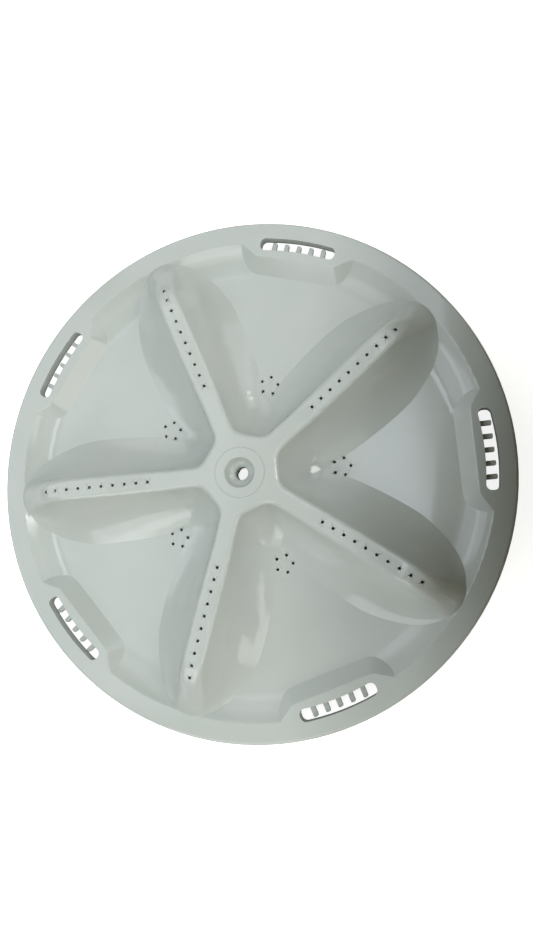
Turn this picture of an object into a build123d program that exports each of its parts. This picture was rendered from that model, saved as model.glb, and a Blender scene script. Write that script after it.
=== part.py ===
"""Wash plate of a top-loading washing machine, one injection moulding in polypropylene.

The plate is a thin dish with five hollow lobes that push the water and the laundry round.
Its axis is Z, and the vanes and the boss of its underside stand on Z = 0. Heights and depths
that are "from the rim" are measured from the level band that runs round the edge.
"""

from build123d import *
from math import atan2, cos, hypot, radians, sin, tan
import os

# Disc and rim
disc_radius = 177.5
rim_height = 26.0
wall = 2.5
rim_edge_radius = 2.0
lip_below_floor = 2.0

# Valley floor, and the step that rises from it to the rim
floor_depth_centre = 13.5
floor_depth_foot = 10.0
step_foot_radius = 141.0
step_top_radius = 163.5
step_edge_radius = 1.8

# Lobes: the crest line as (radius, height from the rim), and the petal that they cover
lobe_count = 5
crest_width = 13.0
crest_height = 14.0
crest_level_end = 60.0
crest_peak = (132.9, 22.9)
crest_nose = 164.0
crest_softness = 6.0
crest_edge_radius = 3.5
nose_edge_radius = 18.0
petal_middle = 104.0
petal_half_width = 37.5
petal_to_nose = 60.0
petal_to_hub = 110.0
petal_least = 15.0
foot_reach = 8.0
foot_angle = 26.0
foot_angle_hub = 12.0
foot_angle_nose = 38.0
foot_turn = (48.0, 96.0)
least_fall = 0.85
most_edge = 0.94
lobe_stations = (42.0, 52.0, 64.0, 80.0, 96.0, 112.0, 125.0, 137.0, 148.0, 158.0, 165.0)

# Hub: the walls that close the valleys, the pad and the bolt recess
hub_wall_top = 25.5
hub_wall_foot = 60.0
hub_wall_hollow = 0.17
hub_wall_levels = 6
hub_wall_sink = 0.6
hub_corner_radius = 10.0
most_corner = 0.9
hub_arm_half_width_top = crest_width / 2 - 0.1
hub_arm_half_width_foot = 33.0
hub_block_radius = 68.0
hub_edge_radius = 3.5
pad_radius = 16.8
pad_height = 0.8
pad_edge_radius = 0.6
recess_radius = 10.2
recess_edge_radius = 1.0
seat_radius = 7.6
seat_height = 8.5
bolt_hole_radius = 4.6

# Lands: the places where the rim widens inwards to carry a slot
land_inner = 151.5
land_half_length = 28.0
land_root = 160.0
land_root_half_length = 42.0
land_angle = 45.0
land_edge_radius = 2.0
land_corner_radius = 7.0

# Rim slots with their collars and comb teeth
slot_inner = 157.7
slot_outer = 166.2
slot_half_length = 26.5
slot_corner_radius = 3.6
collar_depth = 7.6
collar_wall = 1.8
tooth_count = 5
tooth_pitch = 8.75
tooth_width = 3.2
tooth_tip = 164.2
tooth_sink = 1.4
tooth_depth = 5.0
tooth_tip_radius = 0.9

# Drain holes along the crests and in the valley floors
hole_radius = 1.0
crest_hole_first = 64.0
crest_hole_pitch = 8.0
crest_hole_count = 10
cluster_distance = 65.2
cluster_radius = 6.0
cluster_hole_count = 5

# Underside: splined boss, vanes and rings
boss_radius = 17.0
drive_depth = 24.0
drive_groove_count = 11
drive_inner_radius = 10.2
drive_outer_radius = 12.0
drive_groove_width = 3.2
drive_lead_in = 1.0
vane_width = 2.2
vane_reach = 138.0
vane_angle = 9.0
ring_radii = (48.0, 100.0)

lobe_spacing = 360 / lobe_count
half_spacing = radians(lobe_spacing / 2)
lip_depth = floor_depth_centre + wall + lip_below_floor
crest_rise = (crest_peak[1] - crest_height) / (crest_peak[0] - crest_level_end)
crest_fall = -crest_peak[1] / (crest_nose - crest_peak[0])
hub_corner_angle = radians(90) + half_spacing
nose_span = (crest_peak[0], crest_nose)
overlap = 1.0


def ramp(x, start, slope):
    """Zero before start and a straight slope after it, with a soft bend between."""
    return slope * (x - start + hypot(x - start, crest_softness)) / 2


def crest_line(x):
    """Height of the crest from the rim at radius x."""
    rise = ramp(x, crest_level_end, crest_rise)
    return crest_height + rise + ramp(x, crest_peak[0], crest_fall - crest_rise)


def floor_line(x):
    """Height of the valley floor at radius x, above the ground."""
    slope = (floor_depth_centre - floor_depth_foot) / step_foot_radius
    return rim_height - floor_depth_centre + slope * x


def dish_line(x):
    """Height of the dish at radius x, above the ground: valley floor, then step."""
    past_foot = max(0.0, x - step_foot_radius) / (step_top_radius - step_foot_radius)
    return floor_line(x) + (rim_height - floor_line(step_top_radius)) * past_foot**2


def between(x, ends, first, last):
    """A value that changes evenly from first to last as x goes from one end to the other."""
    share = (x - ends[0]) / (ends[1] - ends[0])
    return first + (last - first) * min(1.0, max(0.0, share))


def petal(x):
    """Half the width of the petal that a lobe covers on the floor, x along the lobe."""
    length = petal_to_nose if x > petal_middle else petal_to_hub
    share = min(1.0, abs(x - petal_middle) / length)
    return max(petal_half_width * (1 - share**2) ** 0.5, petal_least)


def hollow_arc(start, end, hollow):
    """An arc from start down to end that sags below its chord by a share of its length."""
    chord = end - start
    middle = (start + end) / 2 + Vector(chord.Y, -chord.X) * hollow
    return ThreePointArc(start, middle, end, mode=Mode.PRIVATE)


def inside_block(edge):
    """True for an edge that isn't on the round side of the hub's block."""
    middle = edge @ 0.5
    return hypot(middle.X, middle.Y) < hub_block_radius - overlap


def dish(inset):
    """Valley floor, step and rim, turned as one solid whose skin lies inset below the top."""
    bottom = -overlap - inset if inset else rim_height - lip_depth
    start = (-boss_radius, floor_line(-boss_radius))
    foot = (step_foot_radius, floor_line(step_foot_radius))
    step_top = (step_top_radius, rim_height)
    rim_end = (disc_radius, rim_height)
    with BuildPart() as form:
        with BuildSketch(Plane.XZ) as section:
            with BuildLine():
                floor = Line(start, foot)
                TangentArc(foot, step_top, tangent=floor % 1)
                Polyline(step_top, rim_end, (disc_radius, bottom), (-boss_radius, bottom), start)
            make_face()
            fillet(section.vertices().sort_by_distance(step_top)[0], step_edge_radius)
            fillet(section.vertices().sort_by_distance(rim_end)[0], rim_edge_radius)
            if inset:
                offset(amount=-inset, kind=Kind.INTERSECTION)
            with Locations((disc_radius, 0)):
                Rectangle(2 * disc_radius, 4 * rim_height, mode=Mode.INTERSECT)
        revolve(axis=Axis.Z)
    return form.part


def lobe(inset):
    """One lobe along X, lofted through sections with a level crest and hollow flanks."""
    with BuildPart() as form:
        for x in lobe_stations:
            crest = Vector(crest_width / 2, rim_height + crest_line(x))
            edge_radius = between(x, nose_span, crest_edge_radius, nose_edge_radius)
            slope = between(x, foot_turn, foot_angle_hub, foot_angle)
            slope = radians(between(x, nose_span, slope, foot_angle_nose))
            least_drop = (petal(x) - crest.X) * least_fall
            foot_height = min(dish_line(hypot(x, petal(x))), crest.Y - least_drop)
            foot = Vector(petal(x), foot_height)
            steep = 2 * atan2(crest.Y - foot.Y, foot.X - crest.X) - slope
            crest -= Vector(tan(steep / 2), 1) * inset
            foot -= Vector(sin(slope), cos(slope)) * inset
            end = foot + Vector(cos(slope), -sin(slope)) * foot_reach
            reach = min(max(edge_radius - inset, overlap) * tan(steep / 2), crest.X * most_edge)
            with BuildSketch(Plane.YZ.offset(x)):
                with BuildLine():
                    Line((0, crest.Y), crest - Vector(reach, 0))
                    edge = TangentArc(
                        crest - Vector(reach, 0),
                        crest + Vector(cos(steep), -sin(steep)) * reach,
                        tangent=(1, 0),
                    )
                    TangentArc(edge @ 1, foot, tangent=edge % 1)
                    Polyline(foot, end, (0, end.Y))
                    mirror(about=Plane.YZ)
                make_face()
        loft()
    return form.part


def hub(inset):
    """The middle of the plate: a block whose sides are scooped out where the valleys end."""
    top = rim_height + crest_height - inset
    low = rim_height - lip_depth - 2 * inset
    wall_foot = Vector(hub_wall_foot, floor_line(hub_wall_foot) - hub_wall_sink)
    wall_line = hollow_arc(Vector(hub_wall_top, rim_height + crest_height), wall_foot, hub_wall_hollow)
    spread = (hub_arm_half_width_foot - hub_arm_half_width_top) / (hub_wall_foot - hub_wall_top)
    with BuildPart() as scoop:
        for level in range(hub_wall_levels):
            share = level / (hub_wall_levels - 1)
            normal = (wall_line % share).rotate(Axis.Z, 90)
            point = wall_line @ share - normal * inset
            arm = hub_arm_half_width_top + spread * (point.X - hub_wall_top)
            near = (point.X * sin(half_spacing) - arm) / cos(half_spacing)
            far = (petal_middle * sin(half_spacing) - arm) / cos(half_spacing)
            corner = min(hub_corner_radius, near * tan(hub_corner_angle / 2) * most_corner)
            with BuildSketch(Plane.XY.offset(point.Y)) as slice:
                Polygon(
                    (point.X, -near),
                    (petal_middle, -far),
                    (petal_middle, far),
                    (point.X, near),
                    align=None,
                )
                fillet(slice.vertices().group_by(Axis.X)[0], corner)
        loft()
        extrude(scoop.faces().sort_by(Axis.Z)[-1], amount=overlap + inset)
    with BuildPart() as form:
        with BuildSketch(Plane.XY.offset(low)):
            Circle(hub_block_radius)
        extrude(amount=top - low)
        with PolarLocations(0, lobe_count):
            add(scoop.part, mode=Mode.SUBTRACT)
        if not inset:
            fillet(form.faces().sort_by(Axis.Z)[-1].edges().filter_by(inside_block), hub_edge_radius)
    return form.part


def land(inset):
    """One land along X: a table level with the rim, with sloping sides."""
    ease = inset * tan(radians(land_angle / 2))
    top = rim_height - inset
    with BuildPart() as form:
        with BuildSketch(Plane.XY.offset(top)) as table:
            Polygon(
                (land_inner + ease, -land_half_length + ease),
                (land_root, -land_root_half_length + ease),
                (slot_outer, -land_root_half_length + ease),
                (slot_outer, land_root_half_length - ease),
                (land_root, land_root_half_length - ease),
                (land_inner + ease, land_half_length - ease),
                align=None,
            )
            fillet(table.vertices().group_by(Axis.X)[0], land_corner_radius)
        extrude(amount=-lip_depth - inset, taper=-land_angle)
        if not inset:
            sides = form.faces().sort_by(Axis.Z)[-1].edges().filter_by_position(Axis.X, 0, land_root)
            fillet(sides, land_edge_radius)
        Cylinder(disc_radius - wall - inset, 4 * rim_height, mode=Mode.INTERSECT)
    return form.part


def under_skin(inset):
    """All that lies under the top surface, or under the same surface moved in by inset."""
    turned = dish(inset)
    centre = hub(inset)
    arm = lobe(inset)
    table = land(inset)
    with BuildPart() as form:
        add(centre)
        for number in range(lobe_count):
            add(arm, rotation=(0, 0, lobe_spacing * (number + 0.5)))
        add(turned)
        with PolarLocations(0, lobe_count):
            add(table)
    return form.part


def slot_outline(grow):
    """Outline of a rim slot along X, grown on all sides."""
    with BuildSketch() as outline:
        Circle(slot_outer + grow)
        Circle(slot_inner - grow, mode=Mode.SUBTRACT)
        with Locations((slot_outer, 0)):
            Rectangle(slot_outer, 2 * (slot_half_length + grow), mode=Mode.INTERSECT)
        fillet(outline.vertices(), slot_corner_radius + grow)
    return outline.sketch


def comb():
    """The teeth that stand in from the inner wall of a slot, near the foot of its collar."""
    start = slot_inner - tooth_sink
    with BuildPart() as form:
        with BuildSketch(Plane.XY.offset(rim_height - collar_depth)) as teeth:
            with Locations(((start + tooth_tip) / 2, 0)):
                with GridLocations(0, tooth_pitch, 1, tooth_count):
                    Rectangle(tooth_tip - start, tooth_width)
            fillet(teeth.vertices().group_by(Axis.X)[-1], tooth_tip_radius)
        extrude(amount=collar_depth - tooth_depth)
    return form.part


def drive_outline():
    """Outline of the splined socket: a round hole with grooves."""
    with BuildSketch() as outline:
        Circle(drive_inner_radius)
        with PolarLocations(0, drive_groove_count):
            with Locations((drive_outer_radius / 2, 0)):
                Rectangle(drive_outer_radius, drive_groove_width)
        Circle(drive_outer_radius, mode=Mode.INTERSECT)
    return outline.sketch


outer_form = under_skin(0)
inner_form = under_skin(wall)
slot_collar = slot_outline(collar_wall)
slot_hole = slot_outline(0)
slot_comb = comb()
drive_socket = drive_outline()

with BuildPart() as underside:
    # Vanes in pairs under each valley, and the rings that tie them
    with BuildSketch():
        with PolarLocations(0, lobe_count):
            with PolarLocations(0, 2, start_angle=-vane_angle, angular_range=4 * vane_angle):
                with Locations((vane_reach / 2, 0)):
                    Rectangle(vane_reach, vane_width)
        Circle(boss_radius)
    extrude(amount=rim_height + crest_height)
    add(inner_form, mode=Mode.INTERSECT)
    for radius in ring_radii:
        with BuildSketch():
            Circle(radius + vane_width / 2)
            Circle(radius - vane_width / 2, mode=Mode.SUBTRACT)
        extrude(amount=floor_line(radius) - wall / 2)

with BuildPart() as wash_plate:
    add(outer_form)
    add(inner_form, mode=Mode.SUBTRACT)
    add(underside.part)

    # Hub pad, bolt recess and bolt hole
    pad_top = rim_height + crest_height + pad_height
    with BuildSketch(Plane.XY.offset(pad_top - pad_height - wall / 2)):
        Circle(pad_radius)
    extrude(amount=pad_height + wall / 2)
    fillet(wash_plate.edges().filter_by(GeomType.CIRCLE).sort_by(Axis.Z)[-1], pad_edge_radius)
    with BuildSketch(Plane.XZ):
        with BuildLine():
            Polyline(
                (0, drive_depth - overlap),
                (bolt_hole_radius, drive_depth - overlap),
                (bolt_hole_radius, rim_height + seat_height),
                (seat_radius, rim_height + seat_height),
                (recess_radius, pad_top),
                (recess_radius, pad_top + overlap),
                (0, pad_top + overlap),
                close=True,
            )
        make_face()
    revolve(axis=Axis.Z, mode=Mode.SUBTRACT)
    fillet(wash_plate.edges().filter_by(GeomType.CIRCLE).sort_by(Axis.Z)[-1], recess_edge_radius)

    # Splined drive socket with its lead-in
    extrude(drive_socket, amount=drive_depth, mode=Mode.SUBTRACT)
    with BuildSketch():
        Circle(drive_outer_radius + drive_lead_in)
    extrude(amount=2 * drive_lead_in, taper=45, mode=Mode.SUBTRACT)

    # Rim slots: collars, holes and combs
    with PolarLocations(0, lobe_count):
        with Locations((0, 0, rim_height - collar_depth)):
            add(extrude(slot_collar, amount=collar_depth - wall / 2, mode=Mode.PRIVATE))
    with PolarLocations(0, lobe_count):
        with Locations((0, 0, rim_height - collar_depth - overlap)):
            cutter = extrude(slot_hole, amount=collar_depth + 2 * overlap, mode=Mode.PRIVATE)
            add(cutter, mode=Mode.SUBTRACT)
    with PolarLocations(0, lobe_count):
        add(slot_comb)

    # Drain holes along each crest
    with BuildSketch(Plane.XY.offset(rim_height)):
        with PolarLocations(0, lobe_count, start_angle=lobe_spacing / 2):
            with Locations((crest_hole_first + crest_hole_pitch * (crest_hole_count - 1) / 2, 0)):
                with GridLocations(crest_hole_pitch, 0, crest_hole_count, 1):
                    Circle(hole_radius)
    extrude(amount=crest_peak[1] + overlap, mode=Mode.SUBTRACT)

    # Drain hole clusters in the valley floors
    with BuildSketch(Plane.XY.offset(floor_line(cluster_distance) - wall - overlap)):
        with PolarLocations(cluster_distance, lobe_count):
            with PolarLocations(cluster_radius, cluster_hole_count):
                Circle(hole_radius)
    extrude(amount=wall + 2 * overlap, mode=Mode.SUBTRACT)

wash_plate.part.label = "wash_plate"
os.makedirs("parts", exist_ok=True)
export_step(wash_plate.part, "parts/wash_plate.step")
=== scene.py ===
# %% [markdown]
# # A wash plate under soft light
# The plate is one injection moulding in polypropylene. Its form is already exact in the packed
# model, so this lesson gives it a smooth skin, the finish of a glossy moulding, and soft light.
# The model is loaded first, and the box of each of its parts is printed.

# %% Load the imported model
import bpy
from math import cos, radians, sin
from mathutils import Matrix, Vector


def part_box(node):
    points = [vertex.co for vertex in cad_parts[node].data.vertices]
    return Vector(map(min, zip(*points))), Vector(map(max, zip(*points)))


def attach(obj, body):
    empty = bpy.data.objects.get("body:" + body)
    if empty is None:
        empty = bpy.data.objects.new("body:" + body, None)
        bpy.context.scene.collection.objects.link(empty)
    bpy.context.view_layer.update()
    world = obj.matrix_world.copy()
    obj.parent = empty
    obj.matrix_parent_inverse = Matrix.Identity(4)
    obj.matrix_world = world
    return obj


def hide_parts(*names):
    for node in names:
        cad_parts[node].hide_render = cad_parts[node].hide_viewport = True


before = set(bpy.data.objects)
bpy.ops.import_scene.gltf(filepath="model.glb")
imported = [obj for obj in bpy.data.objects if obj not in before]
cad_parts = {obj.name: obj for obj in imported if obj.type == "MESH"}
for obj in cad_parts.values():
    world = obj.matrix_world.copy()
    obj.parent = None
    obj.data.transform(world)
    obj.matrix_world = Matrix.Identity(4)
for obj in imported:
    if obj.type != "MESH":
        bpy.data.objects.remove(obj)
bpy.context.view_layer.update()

for name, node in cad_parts.items():
    corners = [tuple(round(value, 4) for value in corner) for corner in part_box(name)]
    print(name, "faces:", len(node.data.polygons), "box:", corners)

# %% [markdown]
# ## The camera
# The photograph was taken from close by, half a metre over the lower right of the plate. A close
# camera bends a circle into an egg, so its place matters more than its lens. The place was found
# from the drain holes, which are evenly spaced, and it is written here as a point and three
# directions: to the right, up, and back out of the picture.

# %% Place the camera
FULL_FRAME = 36.0  # sensor width in millimetres


def add_camera(name, place, right, up, back, lens):
    """A camera at a place, turned so that its own axes lie along the three directions."""
    data = bpy.data.cameras.new(name)
    data.lens = lens
    data.sensor_width = FULL_FRAME
    camera = bpy.data.objects.new(name, data)
    bpy.context.scene.collection.objects.link(camera)
    turn = Matrix((right, up, back)).transposed().to_4x4()
    camera.matrix_world = Matrix.Translation(place) @ turn
    return camera


camera = add_camera(
    "camera",
    place=(0.108743, -0.062686, 0.5068),
    right=(0.9764, -0.0809, -0.20026),
    up=(0.10374, 0.98891, 0.10631),
    back=(0.18944, -0.12458, 0.97396),
    lens=27.843,
)
bpy.context.scene.camera = camera
print("camera height over the floor:", round(camera.location.z, 3), "m")

# %% [markdown]
# ## Colours and nodes
# A colour on a screen is not proportional to light, so each sRGB hex value is turned to linear
# once, by one function. A second small function adds a node with its settings and its links,
# which keeps every material readable from top to bottom. A third starts an empty material.

# %% Three helpers
def linear(hex_colour):
    """An sRGB hex colour such as #C0C6C0 as linear red, green, blue and alpha."""
    channels = [int(hex_colour[i:i + 2], 16) / 255 for i in (1, 3, 5)]
    light = [c / 12.92 if c <= 0.04045 else ((c + 0.055) / 1.055) ** 2.4 for c in channels]
    return tuple(light) + (1.0,)


def add_node(tree, kind, settings=None, **links):
    """A node of a kind. settings sets its properties, and links sets or connects its inputs."""
    node = tree.nodes.new(kind)
    for key, value in (settings or {}).items():
        setattr(node, key, value)
    for key, value in links.items():
        number = key[1:]
        socket = node.inputs[int(number) if number.isdigit() else key.replace("_", " ")]
        if isinstance(value, bpy.types.NodeSocket):
            tree.links.new(value, socket)
        else:
            socket.default_value = value
    return node


def new_material(name):
    """An empty node material."""
    material = bpy.data.materials.new(name)
    material.use_nodes = True
    material.node_tree.nodes.clear()
    return material


print("a screen grey of one half is", round(linear("#808080")[0], 3), "in light")

# %% [markdown]
# ## Moulded polypropylene
# Polypropylene is a slightly waxy plastic, here in a pale grey with a touch of green. The mould
# was polished, so the part is glossy. The melt cools a little unevenly, which leaves a faint
# cloudiness a few centimetres wide in its tint and a fine orange peel in its surface. A picture
# of real plastic could give both, but two noises do it at any size and show no seam.

# %% Make the plastic
def moulded_polypropylene():
    """Glossy pale grey polypropylene as it leaves a polished mould.

    To the eye it is a soft, even grey. Only the highlights show the gloss and the orange peel.
    """
    material = new_material("glossy_moulded_polypropylene")
    tree = material.node_tree
    place = add_node(tree, "ShaderNodeTexCoord").outputs["Object"]
    # Clouds of tint 45 mm wide: a scale of 1 / 0.045 m is 22.
    flow = add_node(tree, "ShaderNodeTexNoise", Vector=place, Scale=22.0, Detail=3.0)
    tint = add_node(tree, "ShaderNodeValToRGB", Fac=flow.outputs["Fac"])
    tint.color_ramp.elements[0].position = 0.3
    tint.color_ramp.elements[0].color = linear("#BAC0BC")
    tint.color_ramp.elements[1].position = 0.7
    tint.color_ramp.elements[1].color = linear("#C0C5C1")
    # Orange peel with bumps 1.1 mm apart: a scale of 1 / 0.0011 m is 900.
    peel = add_node(tree, "ShaderNodeTexNoise", Vector=place, Scale=900.0, Detail=2.0)
    rough = add_node(
        tree, "ShaderNodeMapRange", Value=peel.outputs["Fac"], To_Min=0.05, To_Max=0.08
    )
    ripple = add_node(
        tree, "ShaderNodeBump", Height=peel.outputs["Fac"], Strength=0.04, Distance=0.001
    )
    shader = add_node(
        tree,
        "ShaderNodeBsdfPrincipled",
        Base_Color=tint.outputs["Color"],
        Roughness=rough.outputs["Result"],
        Normal=ripple.outputs["Normal"],
        IOR=1.49,
    )
    add_node(tree, "ShaderNodeOutputMaterial", Surface=shader.outputs["BSDF"])
    return material


plastic = moulded_polypropylene()
print("material:", plastic.name)

# %% [markdown]
# ## The plate's skin
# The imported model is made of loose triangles, which shade as flat facets. A copy whose doubled
# points are merged can be shaded smooth, with every edge over a chosen angle kept sharp. One angle
# can't serve a whole moulding: the flanks meet the valleys in a crease that is flatter than the
# facets of a small rounding. So some faces have to be found first, by a test of where they are
# and how they lean.

# %% Select faces by their place and normal
def select_faces(piece, test):
    """Select the faces whose centre, normal, outward and sideways tilt pass a test."""
    mesh = piece.data
    bpy.ops.object.mode_set(mode="EDIT")
    bpy.ops.mesh.select_mode(type="FACE")
    bpy.ops.mesh.select_all(action="DESELECT")
    bpy.ops.object.mode_set(mode="OBJECT")
    for face in mesh.polygons:
        outward = Vector((face.center.x, face.center.y, 0.0)).normalized()
        sideways = Vector((-outward.y, outward.x, 0.0))
        face.select = test(face.center, face.normal, face.normal @ outward, face.normal @ sideways)
    return sum(face.select for face in mesh.polygons)


LOBE_ANGLES = [radians(36 + 72 * number) for number in range(5)]
print("lobes in radians:", [round(angle, 3) for angle in LOBE_ANGLES])

# %% [markdown]
# Two kinds of face matter. The valleys, the step and the rim were turned about the axis, so none
# of them leans sideways. The crests of the lobes and the top of the hub are level strips that
# lean neither left nor right of their lobe.

# %% Tests for faces
STEP_FOOT = 0.1415  # metres from the axis, where the valleys end
RIM_TOP = 0.0261  # metres over the floor
CREST_LOW = 0.0385  # metres over the floor, just under the lowest crest
VALLEY_LEAN = 0.012  # most sideways tilt of a face in a valley
STEP_LEAN = 0.05  # the same on the step, where the facets are coarser
RISE_SLACK = 0.01  # how far a level face may seem to fall outwards
CREST_LEAN = 0.01  # most tilt of a crest across its lobe
UPWARD, NEARLY_LEVEL = 0.3, 0.8  # least height of a normal


def is_turned(centre, normal, outward_tilt, sideways_tilt):
    """True on the valleys, the step and the rim, which rise outwards and never lean sideways."""
    most_lean = VALLEY_LEAN if centre.xy.length < STEP_FOOT else STEP_LEAN
    level_or_rising = normal.z > UPWARD and outward_tilt < RISE_SLACK
    return level_or_rising and abs(sideways_tilt) < most_lean and centre.z < RIM_TOP


def is_crest(centre, normal, outward_tilt, sideways_tilt):
    """True on the level strips along the lobes and on the top of the hub."""
    leans = [abs(normal.y * cos(angle) - normal.x * sin(angle)) for angle in LOBE_ANGLES]
    ahead = [centre.x * cos(angle) + centre.y * sin(angle) for angle in LOBE_ANGLES]
    lean = leans[ahead.index(max(ahead))]
    return centre.z > CREST_LOW and normal.z > NEARLY_LEVEL and lean < CREST_LEAN


print("a face of a valley may lean", VALLEY_LEAN, "and one of the step", STEP_LEAN)

# %% [markdown]
# The outline of the turned faces is a crease all the way round, so all of it is marked sharp. The
# outline of a crest is the start of its rounding and stays smooth, except round the drain holes.
# The foot of the low pad round the bolt is one sharp edge that looks softer than it is, so its
# mark is taken off.

# %% Tests and marks for edges
HOLE_SIDE = 0.0018  # metres from the line of the drain holes
PAD_RADIUS = 0.0168  # metres
PAD_FOOT = 0.0002  # metres to each side of the pad's foot


def is_anywhere(place):
    """True for every edge."""
    return True


def is_beside_hole(place):
    """True close to the line of drain holes along a crest."""
    aside = [abs(place.y * cos(angle) - place.x * sin(angle)) for angle in LOBE_ANGLES]
    return min(aside) < HOLE_SIDE


def is_pad_foot(place):
    """True where the low pad round the bolt rises from the hub."""
    return place.z > CREST_LOW and abs(place.xy.length - PAD_RADIUS) < PAD_FOOT


def middle(mesh, edge):
    """The middle of an edge."""
    start, end = (mesh.vertices[index].co for index in edge.vertices)
    return (start + end) / 2


def sharpen_selected(piece, test):
    """Mark those selected edges as sharp whose middle passes a test."""
    edges = [e for e in piece.data.edges if e.select and test(middle(piece.data, e))]
    for edge in edges:
        edge.use_edge_sharp = True
    return len(edges)


def soften_edges(piece, test):
    """Take the sharp mark off those edges whose middle passes a test."""
    edges = [e for e in piece.data.edges if e.use_edge_sharp and test(middle(piece.data, e))]
    for edge in edges:
        edge.use_edge_sharp = False
    return len(edges)


print("pad across:", 2000 * PAD_RADIUS, "mm")

# %% [markdown]
# A point between a large face and a narrow rounding should take the normal of the large face,
# as it does on the real surface. The Weighted Normal modifier does that where faces are marked as
# strong, so the turned faces and the crests are marked before it is applied.

# %% Make the plate
MERGE_WITHIN = 1e-6  # metres
SHARP_FROM = 30  # degrees between two faces


def smooth_copy(node_name, piece_name):
    """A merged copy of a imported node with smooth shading, which stands for it."""
    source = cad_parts[node_name]
    bpy.ops.object.select_all(action="DESELECT")
    piece = bpy.data.objects.new(piece_name, source.data.copy())
    bpy.context.scene.collection.objects.link(piece)
    bpy.context.view_layer.objects.active = piece
    piece.select_set(True)
    bpy.ops.object.mode_set(mode="EDIT")
    bpy.ops.mesh.select_all(action="SELECT")
    bpy.ops.mesh.remove_doubles(threshold=MERGE_WITHIN)
    bpy.ops.object.mode_set(mode="OBJECT")
    bpy.ops.object.shade_smooth_by_angle(angle=radians(SHARP_FROM))
    for test, edge_test in ((is_crest, is_beside_hole), (is_turned, is_anywhere)):
        print(test.__name__, "faces:", select_faces(piece, test))
        bpy.ops.object.mode_set(mode="EDIT")
        bpy.ops.mesh.mod_weighted_strength(set=True, face_strength="STRONG")
        bpy.ops.mesh.region_to_loop()
        bpy.ops.object.mode_set(mode="OBJECT")
        print("sharp edges:", sharpen_selected(piece, edge_test))
    print("softened edges:", soften_edges(piece, is_pad_foot))
    even = piece.modifiers.new("even_shading", "WEIGHTED_NORMAL")
    even.keep_sharp = True
    even.use_face_influence = True
    bpy.ops.object.modifier_apply(modifier=even.name)
    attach(piece, "root")
    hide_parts(node_name)
    return piece


plate = smooth_copy("wash_plate", "plate_skin")
plate.data.materials.clear()
plate.data.materials.append(plastic)
print("plate faces:", len(plate.data.polygons), "points:", len(plate.data.vertices))

# %% [markdown]
# ## Floor
# The plate lies on a white floor. Most of the floor's white is its own, and only the camera sees
# that part, so the floor stays white in the picture without throwing more light on the plate. Close
# round the axis and outside the valleys it shows through the bolt hole and the rim slots. Between
# the two it stays dark, because the small drain holes look into the shadow under the plate.

# %% Lay the floor
BOSS_INSIDE = 0.013  # metres from the axis
SLOTS_INSIDE = 0.150  # metres from the axis
OWN_WHITE = 0.86  # with the light that falls on it, the floor comes out white


def white_floor():
    """Matt white paint with a white of its own for the camera, and none under the valleys.

    To the eye it is clean white ground that keeps the plate's soft shadow.
    """
    material = new_material("white_floor")
    tree = material.node_tree
    place = add_node(tree, "ShaderNodeTexCoord").outputs["Object"]
    length = add_node(tree, "ShaderNodeVectorMath", {"operation": "LENGTH"}, _0=place)
    away = length.outputs["Value"]
    near = add_node(tree, "ShaderNodeMath", {"operation": "LESS_THAN"}, _0=away, _1=BOSS_INSIDE)
    far = add_node(tree, "ShaderNodeMath", {"operation": "GREATER_THAN"}, _0=away, _1=SLOTS_INSIDE)
    open_to_view = add_node(
        tree, "ShaderNodeMath", {"operation": "ADD"}, _0=near.outputs[0], _1=far.outputs[0]
    )
    seen = add_node(tree, "ShaderNodeLightPath").outputs["Is Camera Ray"]
    own_white = add_node(
        tree, "ShaderNodeMath", {"operation": "MULTIPLY"}, _0=open_to_view.outputs[0], _1=seen
    )
    paint = add_node(tree, "ShaderNodeBsdfDiffuse", Color=linear("#F2F2F2"))
    nothing = add_node(tree, "ShaderNodeEmission", Strength=0.0)
    glow = add_node(tree, "ShaderNodeEmission", Strength=OWN_WHITE)
    own = add_node(
        tree,
        "ShaderNodeMixShader",
        _0=own_white.outputs[0],
        _1=nothing.outputs[0],
        _2=glow.outputs[0],
    )
    both = add_node(tree, "ShaderNodeAddShader", _0=paint.outputs[0], _1=own.outputs[0])
    add_node(tree, "ShaderNodeOutputMaterial", Surface=both.outputs[0])
    return material


bpy.ops.object.select_all(action="DESELECT")
bpy.ops.mesh.primitive_plane_add(size=12.0, location=(0, 0, 0))
floor = bpy.context.active_object
floor.name = "floor"
floor.data.materials.append(white_floor())
print("floor size:", round(floor.dimensions.x, 2), "m")

# %% [markdown]
# ## Light
# The photograph has no hard shadow, only flanks that darken softly on the side away from the left.
# So the light is a ring of large lamps at two heights, with half of it at the left and the lower
# left. The high ones show as pale reflections on the level rim, and the low ones light the flanks.
# One smaller lamp stands for a window and gives the small bright streaks on the far side of each
# step, and one overhead gives the pale sheen on the right valley.

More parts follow.
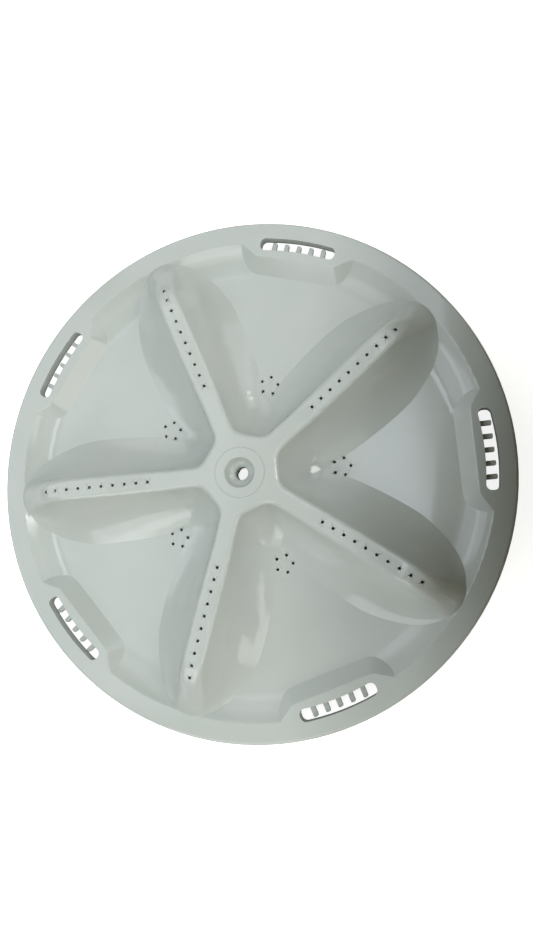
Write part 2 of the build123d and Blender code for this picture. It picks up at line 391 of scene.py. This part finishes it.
# %% Hang the lamps
LARGE = (0.8, 0.8)  # metres
LAMPS = [  # name, place and size in metres, power in watts, colour
    ("lower_left_high", (-0.30, -0.95, 1.15), LARGE, 3.2, "#FFFDF6"),
    ("lower_left_low", (-0.42, -1.14, 0.88), LARGE, 4.2, "#F4F8FF"),
    ("left_high", (-0.78, 0.15, 1.25), (1.0, 1.0), 3.8, "#E6F0FF"),
    ("left_low", (-1.20, 0.21, 0.88), LARGE, 3.2, "#EAF2FF"),
    ("top_high", (-0.17, 0.73, 1.30), LARGE, 1.6, "#F0F4FF"),
    ("top_low", (-0.21, 1.20, 0.88), LARGE, 1.4, "#FFFFFF"),
    ("upper_right_high", (0.47, 0.59, 1.30), LARGE, 1.3, "#E8F1FF"),
    ("upper_right_low", (1.05, 0.60, 0.88), LARGE, 3.0, "#F0F6FF"),
    ("lower_right_high", (0.47, -0.59, 1.30), LARGE, 0.9, "#FFFBEC"),
    ("lower_right_low", (1.05, -0.61, 0.88), LARGE, 4.6, "#FFFEF6"),
    ("window", (0.95, 0.22, 1.15), (0.25, 0.55), 4.0, "#FFFFFF"),
    ("overhead", (-0.02, 0.18, 1.50), (0.22, 0.42), 1.1, "#E8F2FF"),
]


def add_lamp(name, place, size, power, colour):
    """A soft lamp that points at the plate's middle."""
    data = bpy.data.lights.new(name, "AREA")
    data.shape = "RECTANGLE"
    data.size, data.size_y = size
    data.energy = power
    data.color = linear(colour)[:3]
    lamp = bpy.data.objects.new(name, data)
    bpy.context.scene.collection.objects.link(lamp)
    lamp.location = place
    lamp.rotation_euler = (-Vector(place)).to_track_quat("-Z", "Y").to_euler()
    lamp.visible_camera = False
    return lamp


for lamp in LAMPS:
    add_lamp(*lamp)
print("lamps:", len(LAMPS), "with", round(sum(lamp[3] for lamp in LAMPS), 1), "W")

# %% [markdown]
# ## A dark card
# A broad soft shadow lies over the right side of the rim in the photograph. A dark card held over
# that side, which the camera doesn't see, gives the same shadow, and its edge shows in the gloss as
# the straight end of the pale sheen. Its olive underside makes the shadow warm, as it is there.

# %% Hold the card
def dark_card(edge, turn, size):
    """A level card whose left edge runs through a place, turned about the vertical."""
    # Matt olive board: it throws back a little warm light and shows no highlight.
    material = new_material("matt_olive_card")
    tree = material.node_tree
    paint = add_node(tree, "ShaderNodeBsdfDiffuse", Color=linear("#6C6228"))
    add_node(tree, "ShaderNodeOutputMaterial", Surface=paint.outputs[0])
    bpy.ops.object.select_all(action="DESELECT")
    bpy.ops.mesh.primitive_plane_add(size=1.0, location=(0, 0, 0))
    card = bpy.context.active_object
    card.name = "dark_card"
    card.matrix_world = (
        Matrix.Translation(edge)
        @ Matrix.Rotation(radians(turn), 4, "Z")
        @ Matrix.Diagonal((size[0], size[1], 1.0, 1.0))
        @ Matrix.Translation((0.5, 0.0, 0.0))
    )
    card.visible_camera = False
    card.data.materials.append(material)
    return card


card = dark_card(edge=(0.125, 0.004, 0.104), turn=-11.0, size=(0.5, 0.365))
print("card:", card.name, "at height", round(card.location.z, 3), "m")

# %% [markdown]
# ## Surroundings
# The room round the plate gives a weak, slightly warm light from everywhere, which fills the
# shadow. The camera itself sees plain white there, so the picture has no horizon.

# %% Light the surroundings
ROOM_LIGHT = 0.18

world = bpy.data.worlds.new("studio")
bpy.context.scene.world = world
world.use_nodes = True
tree = world.node_tree
tree.nodes.clear()
rays = add_node(tree, "ShaderNodeLightPath")
soft = add_node(tree, "ShaderNodeBackground", Color=linear("#FFFBD6"), Strength=ROOM_LIGHT)
white = add_node(tree, "ShaderNodeBackground", Color=linear("#FFFFFF"), Strength=1.0)
sky = add_node(
    tree,
    "ShaderNodeMixShader",
    _0=rays.outputs["Is Camera Ray"],
    _1=soft.outputs[0],
    _2=white.outputs[0],
)
add_node(tree, "ShaderNodeOutputWorld", Surface=sky.outputs[0])
print("room light:", ROOM_LIGHT)

# %% [markdown]
# ## Finish
# Standard shows each colour as it is set. A skin must not reach past the part that it
# dresses.

# %% Finish
bpy.context.scene.view_settings.view_transform = "Standard"
